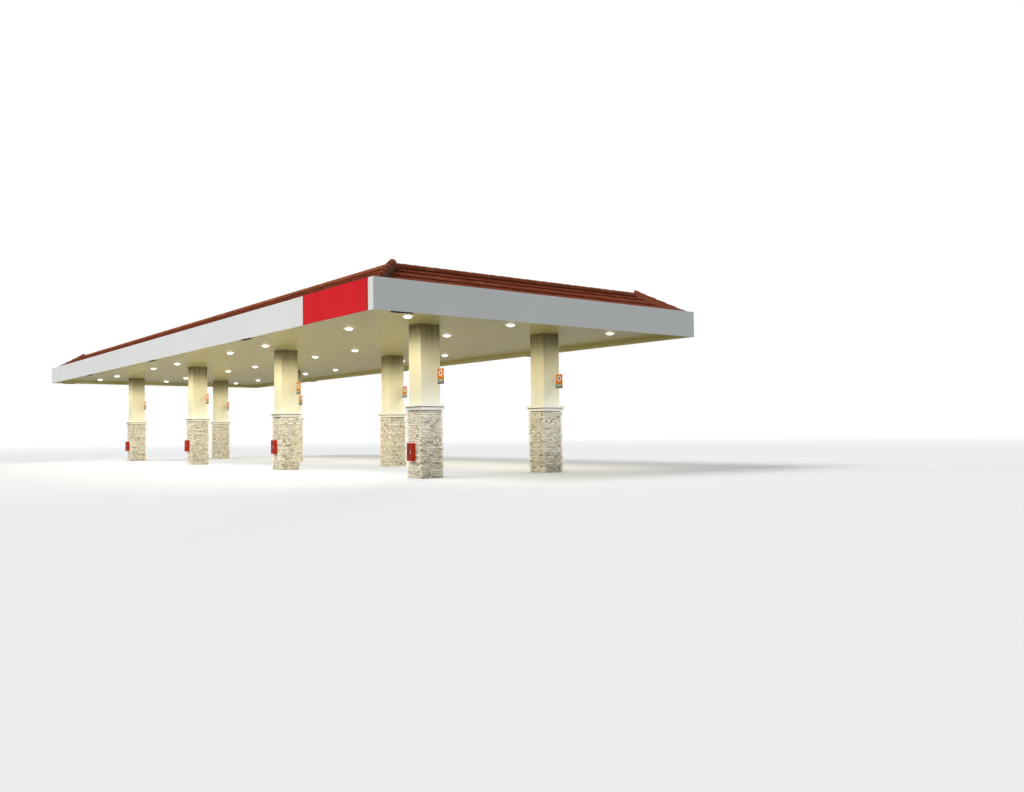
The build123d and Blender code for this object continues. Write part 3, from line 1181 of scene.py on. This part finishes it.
def numberFlags():
    # an orange panel, a numbered white disc, and a green and a dark blue band, each with its pale stripe
    s = flagSizes
    panels, arms, discs, greens, darks = (bmesh.new() for _ in range(5))
    shapes = {"dark": darks, "white": discs, "green": greens}
    numerals = []
    boxes = sorted(solidBoxes("number_flags", s["reach"]), key=lambda box: (round(box[0].y), box[0].x))
    for number, (low, high) in enumerate(boxes, 1):
        left = low.x + s["standOff"]
        low.z += s["hung"].get(number, 0)
        high.z += s["hung"].get(number, 0)
        tall = high.z - low.z
        y = (low.y + high.y) / 2 + s["aside"].get(number, 0)
        half = (high.y - low.y) / 2 - s["plate"] - s["sink"]
        addBlock(panels, (left, y - half, low.z), (high.x, y + half, high.z), s["bevel"])
        for share in s["armLevels"]:
            z = low.z + share * tall
            for end, key in ((left + s["armLap"], "arm"), (low.x + s["wallPlateDepth"], "wallPlate")):
                across, up, bevel = s[key]
                addBlock(arms, (low.x, y - across, z - up), (end, y + across, z + up), bevel)
        middle = (left + high.x) / 2
        discZ = low.z + s["discLevel"] * tall
        for side in (-1, 1):
            face = y + side * half
            addDisc(discs, middle, face, discZ, side * s["plate"] * s["discProud"])
            for colour, foot, head, share, edge in s["bands"]:
                near, far = sorted((face, face + side * s["plate"] * share))
                addBlock(shapes[colour], (left + edge, near, low.z + foot * tall),
                         (high.x - edge, far, low.z + head * tall))
            centre = Vector((middle, face + side * s["plate"] * s["numeralProud"], discZ))
            numerals.append(numeralMesh(str(number), centre, side))
    settleShape("flagPanels", panels, "orangeSheet", "flag", "number_flags")
    settleShape("flagArms", arms, "whiteHousing", "flag")
    settleShape("flagDiscs", discs, "whitePaint", "flag")
    settleShape("flagGreenBars", greens, "greenPaint", "flag")
    settleShape("flagDarkBars", darks, "slatePaint", "flag")
    settle("flagNumerals", joinMeshes("flagNumerals", numerals, "blackPaint"), "flag")
    print("number flags:", len(boxes))


cabinetSizes = {
    "reach": 1.0,
    "topShift": -0.035,
    "footShift": -0.085,
    "sideShift": 0.05,
    "lift": (0.045, 0.12, 0.11, 0.0),
    "slide": (-0.03, -0.08, -0.02, 0.0),
    "bevel": 0.008,
    "doorBevel": 0.002,
    "doorDepth": 0.014,
    "doorInset": 0.010,
    "doorSink": 0.002,
    "bodySink": 0.004,
    "frameLap": 0.006,
    "frame": 0.045,
    "paneHalf": 0.004,
    "handle": (0.012, 0.05),
    "handleInset": 0.012,
    "fixingBevel": 0.001,
    "hinges": (0.06, -0.10),
    "hinge": (0.001, 0.010, 0.05),
}


def extinguisherCabinets():
    s = cabinetSizes
    bodies, panes, handles = bmesh.new(), bmesh.new(), bmesh.new()
    boxes = sorted(solidBoxes("extinguisher_cabinets", s["reach"]), key=lambda box: box[0].x)
    for (low, high), lift, slide in zip(boxes, s["lift"], s["slide"]):
        # the photo shows the boxes a little wider and lower than the solids, and each at its own height
        low.z += s["footShift"] + lift
        high.z += s["topShift"] + lift
        low.x += slide
        high.x += s["sideShift"] + slide
        front, door = low.y + s["doorSink"], low.y + s["doorDepth"]
        addBlock(bodies, (low.x, door + s["bodySink"], low.z), high, s["bevel"])
        a, b = low.x + s["doorInset"], high.x - s["doorInset"]
        c, d = low.z + s["doorInset"], high.z - s["doorInset"]
        m, pane, edge = s["frame"], s["paneHalf"], s["fixingBevel"]
        addFrame(bodies, (a, front, c), (b, door + s["frameLap"], d), m, s["doorBevel"])
        # the panes are opaque, painted with the extinguisher inside in painted shade
        addBlock(panes, (a + m, door - pane, c + m), (b - m, door + pane, d - m))
        wide, tall = s["handle"]
        x, z = b - m + s["handleInset"], (c + d) / 2
        addBlock(handles, (x, low.y, z - tall), (x + wide, front + edge, z + tall), edge)
        near, far, tall = s["hinge"]
        for z in (c + s["hinges"][0], d + s["hinges"][1]):
            addBlock(handles, (low.x + near, door - pane, z), (low.x + far, door + pane, z + tall), edge)
    settleShape("cabinetBodies", bodies, "cabinetRed", "cabinet", "extinguisher_cabinets")
    settleShape("cabinetPanes", panes, "cabinetPane", "cabinet")
    settleShape("cabinetHandles", handles, "whiteHousing", "cabinet")
    print("cabinets hung:", len(boxes))


lightFittings()
signBox()
numberFlags()
extinguisherCabinets()

# nodes that keep the shape of the frame and only take their finishes
nodeFinishes = {
    "column_shaft": "creamRender",
    "girder": "primedSteel",
    "cross_purlins": "primedSteel",
    "soffit_deck": "deckPan",
}
for name, node in nodes.items():
    for key, finishName in nodeFinishes.items():
        if key in name:
            node.data.materials.clear()
            node.data.materials.append(finish[finishName])
print("frame nodes dressed")

stageSizes = {
    "floor": 400.0,
    "floorTones": ((0.3, (0.968, 0.957, 0.945)), (0.7, (0.983, 0.972, 0.96))),
    "bounceColour": (0.50, 0.49, 0.47),
    "poolColour": (0.43, 0.475, 0.60),
    "poolInset": (1.0, 1.6),
    "poolShare": 0.57,
    "fade": (30.0, 160.0),
    "fadeGlow": 0.17,
    "skyStrength": 0.50,
    "skyColour": (0.88, 0.945, 1.03, 1),
    "sunStrength": 2.08,
    "sunAngle": 25.0,
    "sunTurn": (51, 0, -14),
    "sunColour": (1.0, 0.98, 0.94),
    "lampRows": (-4.17, -0.26, 4.25),
    "lampSize": (37.0, 0.6),
    "lampDrop": 0.07,
    "lampPower": 900.0,
    "lampColour": (1.0, 0.93, 0.74),
    "endFill": 52.0,
    "endFillSize": (14.0, 2.6),
    "endFillSpread": 16,
    "endFillColour": (0.89, 0.95, 1.0),
    "endFillPlace": (26, middleY, 2.1),
    "endFillTurn": (90, 0, 90),
}


def rayIs(tree, *names):
    # 1 for any of the kinds of ray named
    paths = addNode(tree, "ShaderNodeLightPath").outputs
    value = paths[names[0]]
    for name in names[1:]:
        value = mathNode(tree, "MAXIMUM", value, paths[name])
    return value


def lampPool(tree, place):
    # how much of the deck's glow falls on a point of the floor, from its distance to the deck's edge
    split = addNode(tree, "ShaderNodeSeparateXYZ", {0: place}).outputs
    insets = stageSizes["poolInset"]
    gaps = []
    for axis, middle, size, inset in zip("XY", (0, middleY), (roofLength, roofWidth), insets):
        away = mathNode(tree, "ABSOLUTE", mathNode(tree, "SUBTRACT", split[axis], middle))
        gaps.append(mathNode(tree, "SUBTRACT", away, size / 2 - inset))
    gap = mathNode(tree, "MAXIMUM", *gaps)
    squares = mathNode(tree, "ADD", mathNode(tree, "MULTIPLY", gap, gap), deckBottom ** 2)
    slant = mathNode(tree, "SQRT", squares)
    share = mathNode(tree, "SUBTRACT", 1.0, mathNode(tree, "DIVIDE", gap, slant))
    return mathNode(tree, "MULTIPLY", share, stageSizes["poolShare"])


def studioFloor():
    s = stageSizes
    tree, shader, place = baseMaterial("paleFloor", 0.95, specular=0.0)
    drift = rampNode(tree, noiseNode(tree, place, 0.05, 2.0), s["floorTones"])
    even = mixColours(tree, lampPool(tree, place), drift, s["poolColour"])
    seen = rayIs(tree, "Is Camera Ray")
    # far off, the floor fades into the white behind it
    away = vectorNode(tree, "LENGTH", {0: place}, "Value")
    fade = rangeNode(tree, away, *s["fade"], s["fadeGlow"], interpolation_type="SMOOTHSTEP")
    feed(tree, shader, {
        "Base Color": mixColours(tree, seen, s["bounceColour"], even),
        "Emission Color": (1, 1, 1, 1),
        "Emission Strength": mathNode(tree, "MULTIPLY", fade, seen),
    })
    bm = bmesh.new()
    bm.faces.new([bm.verts.new((sx * s["floor"], sy * s["floor"], 0)) for sx, sy in squareCorners])
    floor = linked("studioFloor", meshFrom(bm, "studioFloor", "paleFloor"))


def studioWorld():
    # white to the camera, and a soft cool sky to everything else
    world = bpy.data.worlds.new("studio")
    world.use_nodes = True
    bpy.context.scene.world = world
    tree = world.node_tree
    soft = tree.nodes["Background"]
    feed(tree, soft.inputs, {"Color": stageSizes["skyColour"], "Strength": stageSizes["skyStrength"]})
    white = shading(tree, "Background", {"Color": (1, 1, 1, 1)})
    seen = rayIs(tree, "Is Camera Ray", "Is Transmission Ray")
    choose = shading(tree, "MixShader", {0: seen, 1: soft.outputs[0], 2: white})
    feed(tree, tree.nodes["World Output"].inputs, {"Surface": choose})


def addLight(name, kind, energy, colour, place=(0, 0, 0), turn=(0, 0, 0)):
    light = bpy.data.lights.new(name, kind)
    light.energy = energy
    light.color = colour
    holder = linked(name, light)
    holder.location = place
    holder.rotation_euler = [math.radians(angle) for angle in turn]
    if kind == "AREA":
        light.shape = "RECTANGLE"
        holder.visible_camera = False
    return light


def studioLights():
    s = stageSizes
    sun = addLight("softKey", "SUN", s["sunStrength"], s["sunColour"], turn=s["sunTurn"])
    sun.angle = math.radians(s["sunAngle"])
    # one warm strip under each row of fittings stands in for their glow
    for number, y in enumerate(s["lampRows"]):
        place = (0, y, deckBottom - s["lampDrop"])
        strip = addLight("deckGlow" + str(number), "AREA", s["lampPower"], s["lampColour"], place)
        strip.size, strip.size_y = s["lampSize"]
    # a low narrow fill from the short end, which reaches the columns and not the fascia
    fill = addLight("endFill", "AREA", s["endFill"], s["endFillColour"], s["endFillPlace"], s["endFillTurn"])
    fill.size, fill.size_y = s["endFillSize"]
    fill.spread = math.radians(s["endFillSpread"])


viewSizes = {
    "place": (40.504, -18.372, 1.408),
    "azimuth": 51.67,
    "tilt": 1.698,
    "roll": -0.649,
    "focalPixels": 900.7,
    "centreRow": 406.5,
    "picture": (1024, 792),
    "sensor": 36,
    "clip": 2000,
}


def photoCamera():
    s = viewSizes
    width, height = s["picture"]
    a, tilt, roll = (math.radians(s[key]) for key in ("azimuth", "tilt", "roll"))
    look = Vector((-math.sin(a) * math.cos(tilt), math.cos(a) * math.cos(tilt), math.sin(tilt)))
    level = Vector((math.cos(a), math.sin(a), 0))
    above = level.cross(look)
    right = level * math.cos(roll) + above * math.sin(roll)
    up = above * math.cos(roll) - level * math.sin(roll)
    camera = bpy.data.cameras.new("photoCamera")
    camera.sensor_width = s["sensor"]
    camera.lens = s["focalPixels"] / width * s["sensor"]
    camera.shift_y = (s["centreRow"] - height / 2) / width
    camera.clip_end = s["clip"]
    holder = linked("photoCamera", camera)
    turn = Matrix((right, up, -look)).transposed().to_4x4()
    holder.matrix_world = Matrix.Translation(s["place"]) @ turn
    bpy.context.scene.camera = holder


studioFloor()
studioWorld()
studioLights()
photoCamera()
bpy.context.scene.view_settings.view_transform = "Standard"

print("scene ready")
